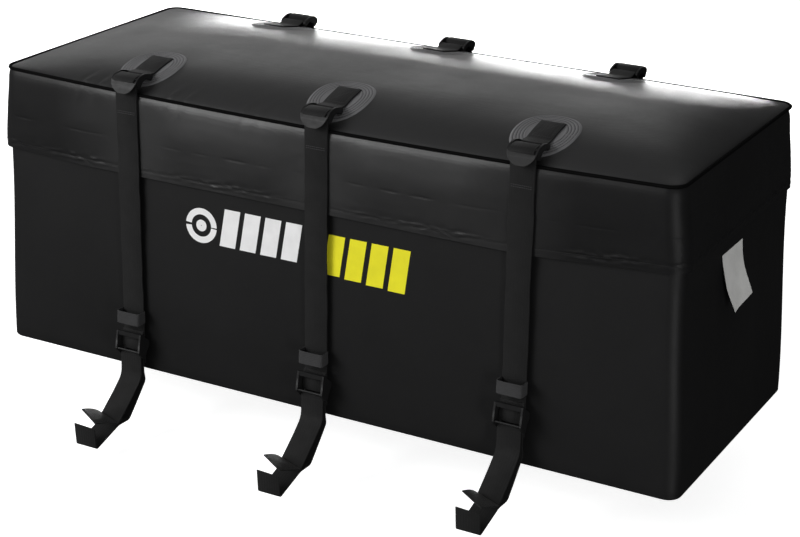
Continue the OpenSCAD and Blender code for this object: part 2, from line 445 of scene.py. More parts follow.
CLOTH = coated_cloth("coated_fabric_wall", grey(0.0075), 0.52, specular=0.22, crinkle=0.12)
# The flap's gloss is lowered towards the bag's ends: painted shade.
FLAP_CLOTH = coated_cloth("coated_fabric_flap", grey(0.009), 0.42, specular=0.55, crinkle=0.3, painted_shade_ends=True)
LID_CLOTH = coated_cloth("coated_fabric_lid", grey(0.012), 0.40, specular=0.5, crinkle=0.2)
LINING = coated_cloth("coated_fabric_floor", grey(0.016), 0.6, specular=0.3, crinkle=0.2)
PATCH_CLOTH = coated_cloth("patch_fabric", grey(0.16), 0.5, specular=0.5, crinkle=0.15)
WEBBING = ribbed_webbing("webbing_black", grey(0.0045), 0.72)
KEEPER_WEB = ribbed_webbing("webbing_keeper", grey(0.034), 0.75, rib=1.3 * MM, lanes=14)
PLASTIC = moulded_plastic("buckle_acetal", grey(0.011), 0.46)
CORD = thread_or_cord("welt_cord", grey(0.0015), 0.88, specular=0.08)
THREAD = thread_or_cord("sewing_thread", grey(0.06), 0.55, twist=0.4 * MM)
DARK_THREAD = thread_or_cord("hem_thread", grey(0.012), 0.55, twist=0.4 * MM)
TAPE = coated_cloth("zip_tape", grey(0.012), 0.8, specular=0.2, crinkle=0.1)
METAL = enamelled_metal("zip_enamel", grey(0.03), 0.35)
LABEL = label_satin("label_satin", (0.82, 0.82, 0.8))
WHITE_INK = printed_ink("print_white", (0.86, 0.86, 0.86))
YELLOW_INK = printed_ink("print_yellow", (0.86, 0.80, 0.02))


# -------- shape of the filled bag
def splay(z):
    """How many times its CAD length the filled bag has at a height: more at its floor, less at its seam."""
    spread = SPLAY_FLOOR * (1 - smooth(z, 0, HEM_Z)) - SPLAY_TOP * smooth(z, HEM_Z, SEAM_Z)
    return 1 + spread / FLAP_L


def side_share(xy, nrm):
    """1 in the middle of a flat side, falling to 0 at its corners."""
    along_front = np.clip(1 - np.abs(xy[..., 0] / (WALL_L - CORNER_R)) ** 4, 0, 1)
    along_side = np.clip(1 - np.abs(xy[..., 1] / (WALL_W - CORNER_R)) ** 4, 0, 1)
    return np.where(np.abs(nrm[..., 1]) > 0.999, along_front,
                    np.where(np.abs(nrm[..., 0]) > 0.999, along_side, 0))


def wall_point(xy, nrm, z, out):
    """A point of the wall's outline, moved to the filled bag's surface at height z."""
    share = side_share(xy, nrm)
    swell = WALL_BULGE * np.sin(math.pi * np.clip(z / HEM_Z, 0, 1)) * share
    is_end = np.abs(nrm[..., 0])
    upright = waves(1, xy[..., 0] * 0.3, xy[..., 1], z * 0.12, shortest=0.07, longest=0.3)
    ripple = 1.6 * MM * is_end * share * upright * smooth(HEM_Z - z, 0, 0.05) * smooth(z, 0, 0.06)
    p = xy + nrm * (swell + ripple + out)[..., None]
    return np.stack([p[..., 0] * splay(z), p[..., 1], z + 0 * p[..., 0]], -1)


def seam_height(x, y):
    """Height of the lid's corded seam: the front run sags between its ends."""
    front = np.clip(-y / SEAM_W, 0, 1) ** 2
    return SEAM_Z - SEAM_SAG * front * np.clip(1 - (x / SEAM_L) ** 2, 0, 1)


def pucker(x):
    """Gathers along the front seam, in clusters left of its middle: a coarse and a fine wave."""
    left_half = smooth(x, -0.66, -0.55) * (1 - smooth(x, -0.22, -0.06)) + 0.04
    clusters = np.clip(0.15 + np.sin((x + 0.375) * TURN / 0.2), 0, 1)
    coarse = np.sin(x * TURN / 0.034 + 1.3 * np.sin(x * 31))
    return left_half * clusters * (coarse + 0.6 * np.sin(x * TURN / 0.019))


def lid_height(x, y):
    """Height of the lid's upper face: a full pillow, steep along its front and easier towards the rear."""
    along = np.abs(x / SEAM_L)
    along = np.clip(1 - np.where(x < 0, along ** SQUARE_LEFT, along ** SQUARE_RIGHT), 0, 1)
    over = np.abs(y / SEAM_W)
    over = np.clip(1 - np.where(y < 0, over ** SQUARE_FRONT, over ** SQUARE_REAR), 0, 1)
    soft = 1.2 * MM * waves(3, x, y, shortest=0.12, longest=0.5) * along * over
    depth = np.clip((y + SEAM_W) / (8 * MM), 0, 20)
    gather = 1.9 * MM * pucker(x - 0.4 * (y + SEAM_W)) * depth * np.exp(1 - depth) * along
    return seam_height(x, y) + 2 * MM + LID_CROWN * along * over + soft + gather


# -------- body and lid
def rear_closure(xy):
    """How far the wall and the lid's band reach into the zip's room behind the flap's ends, where there is no
    zip: closest round the corners, and with room for the hinge cord along the rear."""
    behind_flap = smooth(xy[:, 1], FLAP_END_Y - 12 * MM, FLAP_END_Y - 2 * MM)
    round_corner = smooth(np.abs(xy[:, 0]), REAR_STRIP_L + 9 * MM, REAR_STRIP_L + 15 * MM)
    return behind_flap * (ZIP_ROOM - 4 * MM + 2.4 * MM * round_corner)


def top_of_wall(xy):
    """The wall stands higher along the rear, where the lid is hinged."""
    return ZIP_Z - ZIP_ROOM + rear_closure(xy)


def make_shell():
    xy, nrm, run = outline(WALL_L, WALL_W, CORNER_R, step=0.018)
    edge_r = 6 * MM
    edge_steps, wall_steps = 5, 26
    turn = np.radians(np.linspace(-90, 0, edge_steps + 1))
    inset, rise = edge_r * (1 - np.cos(turn)), edge_r * (1 + np.sin(turn))
    tall = top_of_wall(xy) - edge_r
    rows = [(back, np.full(len(xy), up)) for back, up in zip(inset, rise)]
    rows += [(0.0, edge_r + tall * (k / wall_steps)) for k in range(1, wall_steps + 1)]
    rows_out, rows_in, uvs = [], [], []
    for back, z in rows:
        z_in = np.maximum(z, FLOOR_T + 0.5 * MM)
        rows_out.append(wall_point(xy, nrm, z, -back))
        rows_in.append(wall_point(xy, nrm, z_in, -max(back, WALL_T) - 0.2 * MM))
        uvs.append(np.column_stack([run, z]))
    shell = sheet_solid("bag_shell", np.array(rows_out), np.array(rows_in), np.array(uvs), wrap=True)
    dressed(shell, "bag", CLOTH, ["body_wall"])


def make_floor():
    xy, nrm, _ = outline(WALL_L, WALL_W, CORNER_R, step=0.03)
    scales = [1.0, 0.985, 0.93, 0.8, 0.62, 0.42, 0.2, 0.02]
    upper, lower, uvs = [], [], []
    for k in scales:
        ring = (xy - nrm * 12 * MM) * k
        lift = 0.5 * MM * (1 + waves(5, ring[:, 0], ring[:, 1])) * (k < 0.99)
        x = ring[:, 0] * splay(0)
        upper.append(np.column_stack([x, ring[:, 1], FLOOR_T + lift]))
        lower.append(np.column_stack([x, ring[:, 1], np.zeros(len(ring))]))
        uvs.append(ring)
    floor = sheet_solid("bag_floor", np.array(upper), np.array(lower), np.array(uvs), wrap=True)
    dressed(floor, "bag", LINING, ["floor_panel"])


def dense_ends(count):
    """Numbers from -1 to 1 that stand closer together towards both ends."""
    t = np.linspace(-1, 1, count)
    return 0.3 * t + 0.7 * np.sin(t * math.pi / 2)


def make_lid_top():
    half_l, half_w, r = SEAM_L - 2 * MM, SEAM_W - 2 * MM, CORNER_R - 2 * MM
    u, v = np.meshgrid(dense_ends(281), dense_ends(81))
    y = v * half_w
    past = np.clip(np.abs(y) - (half_w - r), 0, r)
    reach = half_l - (r - np.sqrt(np.maximum(r * r - past * past, 0)))
    x = u * reach
    edge = np.minimum(half_w - np.abs(y), reach - np.abs(x))
    z = lid_height(x, y) - 2.2 * MM * np.exp(-edge / (5 * MM))
    upper = np.stack([x * splay(SEAM_Z), y, z], -1)
    lid = sheet_solid("lid_top", upper, upper - 2 * MM * UP, np.stack([x, y], -1))
    dressed(lid, "lid", LID_CLOTH, ["lid_panel"])


def make_lid_band():
    xy, nrm, run = outline(WALL_L, WALL_W, CORNER_R, step=0.018)
    rear = smooth(xy[:, 1], WALL_W - 0.012, WALL_W - 0.002)
    low = ZIP_Z + ZIP_ROOM - rear_closure(xy)
    high = seam_height(xy[:, 0], xy[:, 1]) - 1.5 * MM
    outer, inner, uvs = [], [], []
    for t in np.linspace(0, 1, 9):
        z = low + (high - low) * t
        crumple = 1.5 * MM * rear * math.sin(math.pi * t) * (1 + waves(8, xy[:, 0], z * 3, shortest=0.06))
        outer.append(wall_point(xy, nrm, z, crumple))
        inner.append(wall_point(xy, nrm, z, crumple - WALL_T))
        uvs.append(np.column_stack([run, z]))
    band = sheet_solid("lid_side_band", np.array(outer), np.array(inner), np.array(uvs), wrap=True)
    dressed(band, "lid", CLOTH, ["lid_band"])


def near_strap(x):
    """1 under a strap, falling to 0 beside it."""
    press = 0 * x
    for spot in FRONT_SPOTS:
        press = np.maximum(press, 1 - smooth(np.abs(x - spot.x), 0.027, 0.13))
    return press


def hem_height(x):
    """Height of the flap's hem: drawn up at the bag's ends, most of all at the right one."""
    left_up = HEM_LEFT_UP * (1 - smooth(x, -0.74, -0.5))
    return HEM_Z + HEM_RIGHT_UP * smooth(x, 0.40, 0.74) + left_up - HEM_DROP


def flap_out(xy, nrm, z, top, run):
    """How far the hanging flap stands out from its flat CAD place."""
    x = xy[:, 0]
    hem = hem_height(x)
    crease = ZIP_Z + 0.5 * (hem - HEM_Z)
    depth = top - z
    press = near_strap(x) * (nrm[:, 1] < -0.5)
    loose = 0.3 + 0.7 * smooth(x, -0.46, -0.3) * (1 - smooth(x, 0.36, 0.52))
    body = FLAP_BULGE * loose * np.sin(math.pi * np.clip(depth / (top - hem), 0, 1) ** 0.72) + 1.0 * MM
    dashes = np.clip(0.25 + 1.5 * waves(12, run, count=5, shortest=0.06, longest=0.3), 0, 1)
    groove = -0.75 * MM * np.exp(-((z - crease) / (1.8 * MM)) ** 2) * dashes
    worn = 0.35 + 0.65 * np.clip(2 * waves(13, run, count=4, shortest=0.2, longest=0.6), 0, 1)
    curl = 3.4 * MM * worn * np.exp(-((z - hem - 16 * MM) / (9 * MM)) ** 2)
    curl = curl * waves(14, run, z * 2, count=8, shortest=0.016, longest=0.045)
    soft = 1.1 * MM * waves(15, run, z * 1.5, count=9, shortest=0.08, longest=0.5)
    gather = 2.2 * MM * np.clip(-nrm[:, 1], 0, 1) * pucker(x + 0.35 * depth)
    gather = gather * np.exp(-depth / (13 * MM)) * (1 - np.exp(-depth / (3 * MM)))
    slack = np.maximum(body + groove + curl + soft + gather, 0.15 * MM)
    tuck = 3.4 * MM * np.exp(-(depth / (8 * MM)) ** 1.5)
    return slack * (1 - 0.85 * press) - tuck


def stretched(p, z):
    """Points of the flap at their heights, moved to the filled bag's length."""
    return np.column_stack([p[:, 0] * splay(z), p[:, 1], z])


def make_flap():
    xy, nrm, run = outline(FLAP_L, FLAP_W, CORNER_R + 7.5 * MM, end_y=FLAP_END_Y, step=0.006, turns=12)
    top = seam_height(xy[:, 0], xy[:, 1]) - 1.2 * MM
    hem = hem_height(xy[:, 0])
    levels = np.concatenate([np.linspace(0, 0.1, 9), np.linspace(0.13, 0.5, 12), np.linspace(0.52, 0.66, 13),
                             np.linspace(0.69, 0.84, 5), np.linspace(0.86, 1, 12)])
    outer, inner, uvs = [], [], []
    for t in levels:
        z = top + (hem - top) * t
        out = flap_out(xy, nrm, z, top, run)
        stitched = 0.25 * MM * np.exp(-((z - hem - HEM_SEWN) / (2.2 * MM)) ** 2)
        folded = 0.8 * MM * (z - hem < HEM_FOLD)
        p = xy + nrm * (out - stitched)[:, None]
        q = xy + nrm * (np.minimum(out, 1.2 * MM) - FLAP_T - folded)[:, None]
        outer.append(stretched(p, z))
        inner.append(stretched(q, z))
        uvs.append(np.column_stack([run, z]))
    flap = sheet_solid("rain_flap_cloth", np.array(outer), np.array(inner), np.array(uvs))
    dressed(flap, "lid", FLAP_CLOTH, ["rain_flap"])
    z = hem + HEM_SEWN
    p = xy + nrm * flap_out(xy, nrm, z, top, run)[:, None]
    sewn = stitches("hem_stitching", [(stretched(p, z), np.column_stack([nrm, 0 * run]))])
    dressed(sewn, "lid", DARK_THREAD)


def make_welt():
    xy, nrm, run = outline(SEAM_L, SEAM_W, CORNER_R, step=0.012, turns=10)
    z = seam_height(xy[:, 0], xy[:, 1])
    centre = np.column_stack([xy[:, 0] * splay(SEAM_Z), xy[:, 1], z])
    away = np.column_stack([nrm, 0 * run])
    a = np.radians(np.arange(0, 360, 40))
    rings = (centre[:, None] + WELT_R * np.cos(a)[None, :, None] * away[:, None]
             + WELT_R * np.sin(a)[None, :, None] * UP)
    uvs = np.stack(np.broadcast_arrays(a[None, :] * WELT_R, run[:, None]), -1)
    dressed(tube("lid_welt", rings, uvs, closed=True), "lid", CORD, ["lid_piping"])


def make_zip(name, node, body, tape_low, tape_high, coil_z):
    """One half of the zip: a woven tape sewn to the wall and a coil of teeth along its free edge."""
    xy, nrm, run = outline(WALL_L, WALL_W, CORNER_R, end_y=FLAP_END_Y, step=0.02)
    outer, inner, uvs = [], [], []
    for z in np.linspace(tape_low, tape_high, 4):
        level = z + 0 * run
        outer.append(wall_point(xy, nrm, level, 1.0 * MM))
        inner.append(wall_point(xy, nrm, level, 0.2 * MM))
        uvs.append(np.column_stack([run, level]))
    tape = sheet_solid(name + "_tape", np.array(outer), np.array(inner), np.array(uvs))
    dressed(tape, body, TAPE, [node])
    pitch = 2.4 * MM
    fine_xy, fine_nrm, fine_run = outline(WALL_L, WALL_W, CORNER_R, end_y=FLAP_END_Y, step=pitch / 2,
                                          turns=50)
    centre = wall_point(fine_xy, fine_nrm, coil_z + 0 * fine_run, 0.55 * MM)
    away = np.column_stack([fine_nrm, 0 * fine_run])
    a = np.radians(np.arange(0, 360, 60))
    r = np.where(np.arange(len(fine_run)) % 2 == 0, 0.72 * MM, 0.45 * MM)[:, None, None]
    rings = (centre[:, None] + r * np.cos(a)[None, :, None] * away[:, None]
             + r * 1.3 * np.sin(a)[None, :, None] * UP)
    uvs = np.stack(np.broadcast_arrays(a[None, :] * MM, fine_run[:, None]), -1)
    dressed(tube(name + "_coil", rings, uvs, closed=False, crease=80), body, METAL)


def make_hinge_tape():
    """A sewn tape over the hinge cord along the rear."""
    rise = np.linspace(-14, 14, 25) * MM
    x = np.linspace(-REAR_STRIP_L + 4 * MM, REAR_STRIP_L - 4 * MM, 60)
    hump = 1.9 * MM * np.exp(-(rise / (4.6 * MM)) ** 4)
    outer = np.array([[(a, WALL_W + 1.1 * MM + h, ZIP_Z + r) for a in x] for r, h in zip(rise, hump)])
    inner = outer - np.array([0, 0.7 * MM, 0])
    uvs = np.array([[(r, a) for a in x] for r in rise])
    tape = sheet_solid("rear_hinge_tape", outer, inner, uvs)
    tape.data.materials.append(TAPE)
    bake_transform(tape)


def make_label():
    lo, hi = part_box("care_label")
    across = np.linspace(0, 1, 17)
    width, drop = hi.y - lo.y, hi.z - lo.z
    grid, uvs = [], []
    for t in np.linspace(0, 1, 25):
        curl = 26 * MM * t ** 1.5
        row = []
        for a in across:
            wavy = 3 * MM * math.sin(3.2 * a + 5 * t) * t
            corner = 8 * MM * (1 - a) ** 2 * smooth(t, 0.55, 1.0)
            across_label = width * (a * (1 - 0.08 * t) + 0.04 * t)
            below = drop * t * (0.93 - 0.03 * t + 0.05 * (1 - a) * t)
            row.append((lo.x + 0.6 * MM + curl + wavy + corner, lo.y + across_label, hi.z - below))
        grid.append(row)
        uvs.append([(width * a, drop * t) for a in across])
    outer = np.array(grid)
    inner = outer - np.array([0.5 * MM, 0, 0])
    label = sheet_solid("care_label_cloth", outer, inner, np.array(uvs))
    dressed(label, "bag", LABEL, ["care_label"])


# -------- sewing and printing
def stitches(name, lines, pitch=4.2 * MM, length=2.8 * MM, r=0.42 * MM):
    """Rows of separate stitches in one mesh, along lines of (points, outward directions or one direction)."""
    verts, faces = [], []
    for points, away in lines:
        run = lengths(points)
        away = np.broadcast_to(away, points.shape)
        for k in range(int(run[-1] / pitch)):
            ends = [k * pitch + pitch * 0.2, k * pitch + pitch * 0.2 + length]
            a, b = (np.array([np.interp(s, run, points[:, i]) for i in range(3)]) for s in ends)
            up = unit(np.array([np.interp(ends[0], run, away[:, i]) for i in range(3)]))
            side = unit(np.cross(b - a, up))
            first = len(verts)
            for along in (a, a + (b - a) * 0.25, a + (b - a) * 0.75, b):
                fat = 0.35 if along is a or along is b else 1.0
                verts += [along + side * r * fat, along + up * r * fat, along - side * r * fat,
                          along - up * r * fat]
            for i in range(3):
                for j in range(4):
                    k0, k1 = first + i * 4 + j, first + i * 4 + (j + 1) % 4
                    faces.append((k0, k1, k1 + 4, k0 + 4))
            faces += [(first + 3, first + 2, first + 1, first), tuple(first + 12 + j for j in range(4))]
    return new_piece(name, verts, faces, crease=70)


def printed(name, shapes, ink):
    """Flat printed shapes, each a grid of (x, z) corners, laid on the front of the bag."""
    verts, faces = [], []
    for grid in shapes:
        rows, cols = grid.shape[:2]
        x, z = grid[..., 0].ravel(), grid[..., 1].ravel()
        xy = np.column_stack([x, np.full(len(x), -WALL_W)])
        nrm = np.tile([0.0, -1.0], (len(x), 1))
        first = len(verts)
        top = wall_point(xy, nrm, z, 0.45 * MM)
        under = wall_point(xy, nrm, z, 0.12 * MM)
        verts += list(top) + list(under)
        n = rows * cols
        faces += grid_faces(rows, cols, first)
        faces += [f[::-1] for f in grid_faces(rows, cols, first + n)]
        index = (first + np.arange(n)).reshape(rows, cols)
        rim = np.concatenate([index[0], index[1:, -1], index[-1, -2::-1], index[-2:0:-1, 0]]).tolist()
        for a, b in zip(rim, rim[1:] + rim[:1]):
            faces.append((a, b, b + n, a + n))
    dressed(new_piece(name, verts, faces), "bag", ink)


def slanted_bar(x, low, high):
    """A leaning bar as a grid of corners."""
    width, lean = 36 * MM, 12 * MM
    t = np.linspace(0, 1, 5)
    s = np.linspace(0, 1, 4)
    return np.array([[(x + width * a + lean * b, low + (high - low) * b) for a in s] for b in t])


def sector(centre, inner, outer, start, end):
    """Part of a flat ring as a grid of corners."""
    angles = np.radians(np.linspace(start, end, 33))
    return np.array([[(centre[0] + r * math.cos(a), centre[1] + r * math.sin(a)) for a in angles]
                     for r in (inner, (inner + outer) / 2, outer)])


def make_print():
    """A plain panel of leaning bars with a round badge, in place of any lettering."""
    badge = (-0.259, 0.343)
    pitch = 0.047
    white = [sector(badge, 23 * MM, 36 * MM, 0, 175), sector(badge, 23 * MM, 36 * MM, 185, 355)]
    white.append(sector(badge, 1 * MM, 12 * MM, 0, 359.5))
    white += [slanted_bar(-0.216 + pitch * k, 0.309, 0.387) for k in range(4)]
    yellow = [slanted_bar(0.020 + pitch * k, 0.298 - 0.002 * k, 0.380) for k in range(4)]
    printed("front_print_white", white, WHITE_INK)
    printed("front_print_yellow", yellow, YELLOW_INK)


# -------- strap sets
class Spot:
    """One of the six strap places, with its own (across, outward, up) coordinates."""

    def __init__(self, name):
        lo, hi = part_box("strap_" + name)
        self.name = name
        self.x = (lo.x + hi.x) / 2
        self.side = -1 if hi.y < 0 else 1
        self.seed = SPOT_NAMES.index(name)

    def world(self, points):
        p = np.asarray(points, float)
        return np.stack([self.x + p[..., 0], self.side * (FLAP_W + p[..., 1]), p[..., 2]], -1)

    def bar(self, joint):
        """A buckle bar's (outward, up) place, from the joint that turns about it."""
        at = JOINT_AT[joint.format(self.name)]
        return np.array([abs(at[1]) - FLAP_W, at[2]])

    def lid(self, across, outward):
        """Height of the lid's face at a place beside the spot."""
        return lid_height(self.x + across, self.side * (FLAP_W + outward))


SPOT_NAMES = [f"{end}_{place}" for end in ("front", "rear") for place in ("left", "mid", "right")]
SPOTS = [Spot(name) for name in SPOT_NAMES]
FRONT_SPOTS = SPOTS[:3]


def webbing(spot, name, left, right, body, nodes=(), sway=(0, 0)):
    """Flat webbing with rounded selvedges between two edge lines of (outward, up) points, each of which may
    sway sideways by its own amounts."""
    half = WEB_W / 2
    a = np.column_stack([sway[0] + np.full(len(left), -half), left])
    b = np.column_stack([sway[1] + np.full(len(right), half), right])
    centre = (a + b) / 2
    across = unit(b - a)
    reach = np.linalg.norm(b - a, axis=1) / 2
    outward = unit(np.cross(across, np.gradient(centre, axis=0)))
    cap = np.radians([-90, -45, 0, 45, 90])
    sides = [(s, math.cos(t), math.sin(t)) for s, ts in ((1, cap), (-1, cap[::-1])) for t in ts]
    r = WEB_T / 2
    run = lengths(centre)
    rings, uvs = [], []
    for s, c, h in sides:
        out = s * (reach - r + r * c)
        rings.append(centre + across * out[:, None] + outward * (r * h))
        uvs.append(np.column_stack([out, run]))
    rings, uvs = np.stack(rings, 1), np.stack(uvs, 1)
    piece = tube(name, spot.world(rings), uvs, closed=False, crease=50)
    dressed(piece, body, WEBBING, nodes)


def make_patch(spot):
    """The sewn reinforcement under each buckle tab: an oval of cloth with rings of stitching in the valleys
    between its ridges."""
    rings, ring_from, ring_pitch = 4, 0.58, 0.092
    lo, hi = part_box("patch_" + spot.name)
    half_a = (hi.x - lo.x) / 2
    half_u = (hi.y - lo.y) / 2
    middle = abs((hi.y + lo.y) / 2) - FLAP_W
    angles = np.radians(np.arange(0, 360, 4))
    shares = np.concatenate([[0.02], np.linspace(0.12, 0.5, 5), np.linspace(0.52, 0.94, 31),
                             [0.97, 0.99, 1.0]])

    def place(k):
        c, s = np.cos(angles), np.sin(angles)
        power = 2 / 2.25
        a = k * half_a * np.sign(c) * np.abs(c) ** power
        u = middle + k * half_u * np.sign(s) * np.abs(s) ** power
        return a, u

    upper, lower, uvs = [], [], []
    for k in shares:
        a, u = place(k)
        ridge = 0.5 + 0.5 * math.cos(TURN * (k - ring_from) / ring_pitch)
        ridge = 0.8 * MM * ridge * (0.5 < k < 0.97)
        rise = 0.9 * MM * (1 - smooth(k, 0.955, 1.0)) + ridge + 0.25 * MM
        z = spot.lid(a, u)
        upper.append(spot.world(np.column_stack([a, u, z + rise])))
        lower.append(spot.world(np.column_stack([a, u, z + 0.1 * MM])))
        uvs.append(np.column_stack([a, u]))
    patch = sheet_solid("patch_sewn_" + spot.name, np.array(upper), np.array(lower), np.array(uvs), wrap=True,
                        crease=60)
    dressed(patch, "lid", PATCH_CLOTH, ["patch_" + spot.name])
    lines = []
    for ring in range(rings):
        a, u = place(ring_from + (ring + 0.5) * ring_pitch)
        points = spot.world(np.column_stack([a, u, spot.lid(a, u) + 1.3 * MM]))
        lines.append((np.vstack([points, points[:1]]), UP))
    sewn = stitches("patch_stitching_" + spot.name, lines, pitch=5 * MM, length=4.4 * MM, r=0.55 * MM)
    dressed(sewn, "lid", DARK_THREAD)


def make_tab(spot):
    """The tab sewn to the patch, which turns round the buckle's rear bar and back under itself."""
    bar = spot.bar("top_buckle_{}_hinge")
    above = 3.0 * MM
    lie = [(-u * MM, spot.lid(0, -u * MM) + above) for u in (122, 110, 97, 84, 71, 61)]
    turn = arc(bar, LOOP_R, 105, -80, 12)
    under = [(bar[0] - 9 * MM, bar[1] - 4.6 * MM)]
    lead_in = rounded([lie[-1], tuple(turn[0])], MM, 1)
    line = filled(np.vstack([rounded(lie, 8 * MM, 3), lead_in[1:], turn[1:], under]), 6 * MM)
    webbing(spot, "tab_web_" + spot.name, line, line, "lid", ["tab_" + spot.name])
    inset, near, far = 19 * MM, -68 * MM, -118 * MM
    corners = [(-inset, near), (inset, near), (inset, far), (-inset, far), (-inset, near), (inset, far)]
    route = filled(np.array(corners), 6 * MM)
    z = [spot.lid(0, u) + above + WEB_T / 2 + 0.15 * MM for _, u in route]
    box = spot.world(np.column_stack([route, z]))
    sewn = stitches("tab_stitching_" + spot.name, [(box, UP)])
    dressed(sewn, "lid", THREAD)


def refined(node, name):
    """A copy of a moulded CAD part at the same place and size, with welded seams and rounded edges."""
    mesh = frame["nodes"][node].data.copy()
    mesh.name = name
    bm = bmesh.new()
    bm.from_mesh(mesh)
    bmesh.ops.remove_doubles(bm, verts=bm.verts, dist=0.002 * MM)
    bmesh.ops.dissolve_limit(bm, angle_limit=math.radians(1), verts=bm.verts, edges=bm.edges)
    bm.to_mesh(mesh)
    bm.free()
    if "custom_normal" in mesh.attributes:
        mesh.attributes.remove(mesh.attributes["custom_normal"])
    obj = linked(name, mesh)
    rounder = obj.modifiers.new("rounded_edges", "BEVEL")
    rounder.width = 0.7 * MM
    rounder.segments = 3
    rounder.limit_method = "ANGLE"
    rounder.angle_limit = math.radians(40)
    rounder.use_clamp_overlap = True
    mesh.shade_smooth()
    mesh.set_sharp_from_angle(angle=math.radians(45))
    return obj


def make_buckles(spot):
    for kind in ("top_buckle", "lower_buckle"):
        node = f"{kind}_{spot.name}"
        dressed(refined(node, f"{kind}_moulded_{spot.name}"), node, PLASTIC, [node])


def make_bands(spot):
    """The webbing in each buckle: over the top one's middle bar and behind the lower one's window."""
    over = [(-24, 617), (-22.8, 622.5), (-17, 625.7), (-7, 625.7), (1, 624.7), (7.2, 622.9), (11.8, 619.6),
            (13.6, 616.8)]
    behind = [(8.4, 86), (10.5, 78), (13, 70), (14.6, 60), (14.6, 50.5), (13.5, 45)]
    drawn_up = spot.bar("tail_{}_swing")[1] - TAIL_BAR_UP
    for kind, points, up in (("top_buckle", over, 0), ("lower_buckle", behind, drawn_up)):
        line = filled(rounded([(u * MM, z * MM + up) for u, z in points], 6 * MM, 4), 6 * MM)
        webbing(spot, f"{kind}_web_{spot.name}", line, line, f"{kind}_{spot.name}")


def make_strap(spot):
    """The long strap: doubled over the top buckle's front bar and sewn, then hanging to the lower buckle."""
    bar = spot.bar("strap_{}_swing")
    web_u = bar[0] + LOOP_R
    back_u = web_u - 2.5 * MM
    end_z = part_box("strap_" + spot.name)[0].z
    turn = arc(bar, LOOP_R, 232, 0, 14)
    start = [(back_u, bar[1] - 64 * MM), (back_u, bar[1] - 9 * MM)]
    hang = filled(np.array([turn[-1], (web_u, end_z)]), 14 * MM)
    loose = smooth(bar[1] - hang[:, 1], 0.06, 0.12) * smooth(hang[:, 1] - end_z, 0.11, 0.17)
    first = np.vstack([filled(np.array(start), 10 * MM), turn])
    edges, sways = [], []
    for edge in (0, 1):
        seed = 20 + 2 * spot.seed + edge
        ripple = 0.9 * MM * waves(seed, hang[:, 1], count=6, shortest=0.04, longest=0.25)
        edges.append(np.vstack([first, np.column_stack([hang[:, 0] + ripple * loose, hang[:, 1]])[1:]]))
        sway = 1.5 * MM * loose * waves(seed + 20, hang[:, 1], count=5, shortest=0.05, longest=0.4)
        sways.append(np.concatenate([np.zeros(len(first)), sway[1:]]))
    node = "strap_" + spot.name
    webbing(spot, "strap_web_" + spot.name, edges[0], edges[1], node, [node], sways)
    lines = []
    for below in (55, 59):
        a = np.linspace(-22, 22, 12) * MM
        z = bar[1] - below * MM
        points = spot.world(np.column_stack([a, np.full(12, web_u + WEB_T / 2 + 0.1 * MM), np.full(12, z)]))
        lines.append((points, (0.0, spot.side, 0.0)))
    sewn = stitches("strap_stitching_" + spot.name, lines)
    dressed(sewn, node, THREAD)


def make_keeper(spot):
    """The elastic keeper: a band that stands proud of the strap."""
    node = "keeper_" + spot.name
    lo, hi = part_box(node)
    thick = 1.8 * MM
    near, far = sorted(abs(v) - FLAP_W for v in (lo.y, hi.y))
    half = (hi.x - lo.x) / 2 - thick / 2
    near, far = near + thick / 2, far - thick / 2
    corners = [(0, near), (half, near), (half, far), (-half, far), (-half, near), (0, near)]
    path = filled(rounded(corners, 5 * MM, 4), 6 * MM)[:-1]
    tangent = np.roll(path, -1, 0) - np.roll(path, 1, 0)
    out = unit(np.column_stack([tangent[:, 1], -tangent[:, 0]]))
    levels = np.linspace(lo.z + thick / 3, hi.z - thick / 3, 5)
    section = [(z, 0.5) for z in levels] + [(hi.z, 0)] + [(z, -0.5) for z in levels[::-1]] + [(lo.z, 0)]
    run = lengths(path)
    belly = 1.0 * MM * smooth(path[:, 1], near, far) * (1 - (path[:, 0] / half) ** 2)
    rings, uvs = [], []
    for z, share in section:
        p = path + out * (share * thick)
        lean = 1.5 * MM * (z - lo.z) / (hi.z - lo.z) * smooth(path[:, 1], near + 5 * MM, far)
        rings.append(np.column_stack([p[:, 0], p[:, 1] + belly - lean, z + 0 * run]))
        uvs.append(np.column_stack([z + 0 * run, run]))
    piece = tube("keeper_web_" + spot.name, spot.world(np.stack(rings, 1)), np.stack(uvs, 1), closed=True,
                 crease=50)
    dressed(piece, node, KEEPER_WEB, [node])


def make_tail(spot):
    """The strap's end: one web folded over the lower buckle's bar. Its outer leg ends in a slanted tongue and
    its inner leg in a turned-up plate, which together make the jaw that wraps a rail."""
    bar = spot.bar("tail_{}_swing")

    def edge(points, radius=7):
        return rounded([(u * MM, bar[1] + (z * MM - TAIL_BAR_UP)) for u, z in points], radius * MM, 6)

    leg = [(19.3, 30), (19.3, -14)]
    tongue_left = np.vstack([edge([(157, -39), (134, -47), (112, -58), (93, -73)], 14),
                             edge([(93, -73), (52, -42), (20.5, -14)] + leg[::-1][1:], 15)[1:]])
    tongue_right = np.vstack([edge([(179, -51), (150, -63), (127, -72.5), (102, -82.5)], 10),
                              edge([(102, -82.5), (57, -46), (20.5, -14)] + leg[::-1][1:], 15)[1:]])
    plate = [(10.7, 30), (10.2, -4), (6, -22), (41.6, -61.6), (66, -87), (102, -86)]
    plate_left = edge(plate + [(178, -109), (182, -60)])
    plate_right = edge(plate + [(178, -109), (181, -63)])
    turn = arc(bar, LOOP_R, 0, 180, 12)
    left = np.vstack([tongue_left, turn, plate_left])
    right = np.vstack([tongue_right, turn, plate_right])
    node = "tail_" + spot.name
    webbing(spot, "tail_web_" + spot.name, left, right, node, [node])


